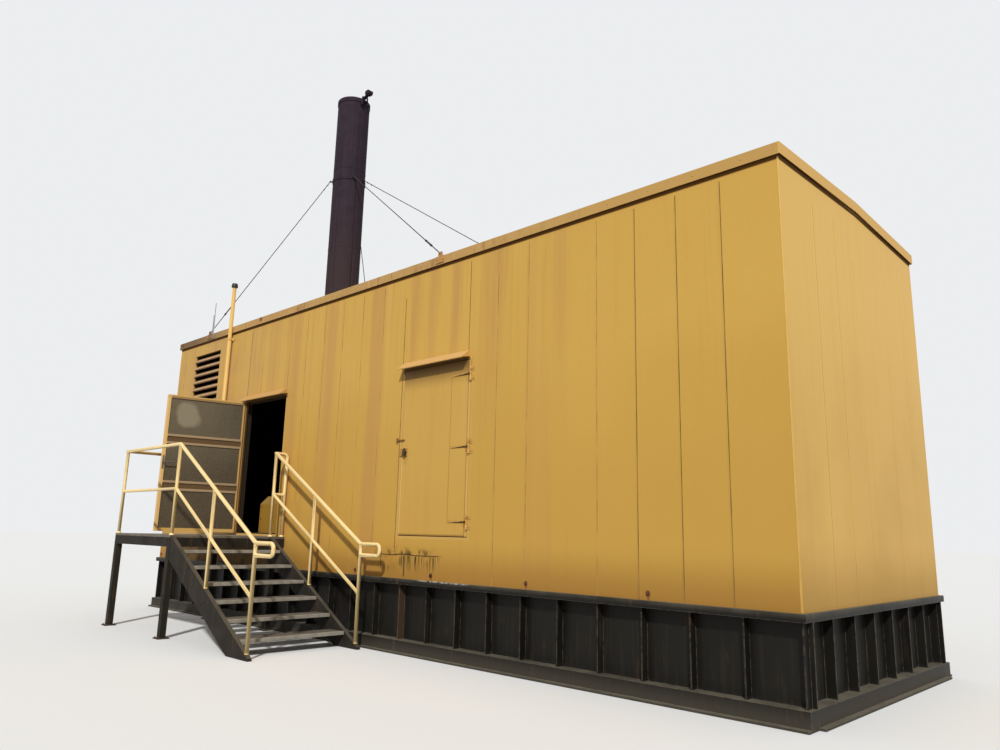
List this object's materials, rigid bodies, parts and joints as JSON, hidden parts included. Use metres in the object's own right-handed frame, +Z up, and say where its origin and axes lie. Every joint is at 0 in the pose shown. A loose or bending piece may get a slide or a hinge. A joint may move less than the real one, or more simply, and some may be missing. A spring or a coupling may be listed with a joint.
{
  "type": "diesel generator set",
  "caption": "Walk-in diesel generator housing on a fuel tank base, with doors, louvre, landing and stair, and a stayed exhaust stack with a flap cap.",
  "frame": {"origin": "middle of the base's underside, on the ground", "axes": "+X along the housing towards its plain end, +Y away from the door side, +Z up"},
  "size_m": [11.94, 5.43, 9.789],
  "materials": {
    "housing_yellow": "satin, weathered",
    "base_black": "satin, dusty",
    "grey_steel": "matt, worn",
    "rail_cream": "satin",
    "stack_rust": "matt, rusted",
    "galvanised": "dull",
    "cap_black": "satin",
    "lining_grey": "satin, dirty",
    "handle_steel": "worn"
  },
  "bodies": {
    "housing": {"access_frame": "housing_yellow", "access_hinges": "housing_yellow", "access_hood": "housing_yellow", "base_rail_front": "base_black", "base_rail_left": "base_black", "base_rail_rear": "base_black", "base_rail_right": "base_black", "entry_frame": "housing_yellow", "entry_hinges": "housing_yellow", "entry_hood": "housing_yellow", "exhaust_stack": "stack_rust", "floor": "grey_steel", "front_wall_left": "housing_yellow", "front_wall_middle": "housing_yellow", "front_wall_over_access": "housing_yellow", "front_wall_over_entry": "housing_yellow", "front_wall_right": "housing_yellow", "front_wall_under_access": "housing_yellow", "front_wall_under_entry": "housing_yellow", "fuel_tank": "base_black", "guard_rail_outer": "rail_cream", "guard_rail_wall_side": "rail_cream", "landing_deck": "grey_steel", "landing_frame": "grey_steel", "left_end_wall": "housing_yellow", "louvre_blades": "housing_yellow", "louvre_frame": "housing_yellow", "machine_guard": "housing_yellow", "rain_cap_band": "stack_rust", "rear_wall": "housing_yellow", "right_end_wall": "housing_yellow", "roof": "housing_yellow", "roof_rods": "galvanised", "roof_trim_front": "housing_yellow", "roof_trim_left": "housing_yellow", "roof_trim_rear": "housing_yellow", "roof_trim_right": "housing_yellow", "stack_curb": "stack_rust", "stack_stays": "galvanised", "stair_treads": "grey_steel", "stay_anchors": "housing_yellow", "stay_collar": "stack_rust", "stringer_outer": "grey_steel", "stringer_wall_side": "grey_steel", "vent_cap": "cap_black", "vent_clips": "housing_yellow", "vent_pipe": "housing_yellow"},
    "entry_door": {"entry_door": "housing_yellow", "entry_door_lining": "lining_grey", "entry_door_handle": "handle_steel", "entry_straps": "housing_yellow"},
    "access_door": {"access_door": "housing_yellow", "access_straps": "housing_yellow", "access_hasp": "housing_yellow", "padlock": "galvanised"},
    "rain_cap": {"rain_cap_flap": "stack_rust"}
  },
  "joints": [
    {"name": "entry_door_hinge", "type": "hinge", "parent": "housing", "child": "entry_door", "pos_m": [-3.166, -1.827, 1.29], "axis": [0, 0, 1], "range_deg": [-2, 102]},
    {"name": "access_door_hinge", "type": "hinge", "parent": "housing", "child": "access_door", "pos_m": [2.111, -1.827, 1.29], "axis": [0, 0, 1], "range_deg": [0, 110]},
    {"name": "rain_cap_hinge", "type": "hinge", "parent": "housing", "child": "rain_cap", "pos_m": [-3.016, 0, 9.689], "axis": [0, 1, 0], "range_deg": [0, 75]}
  ]
}
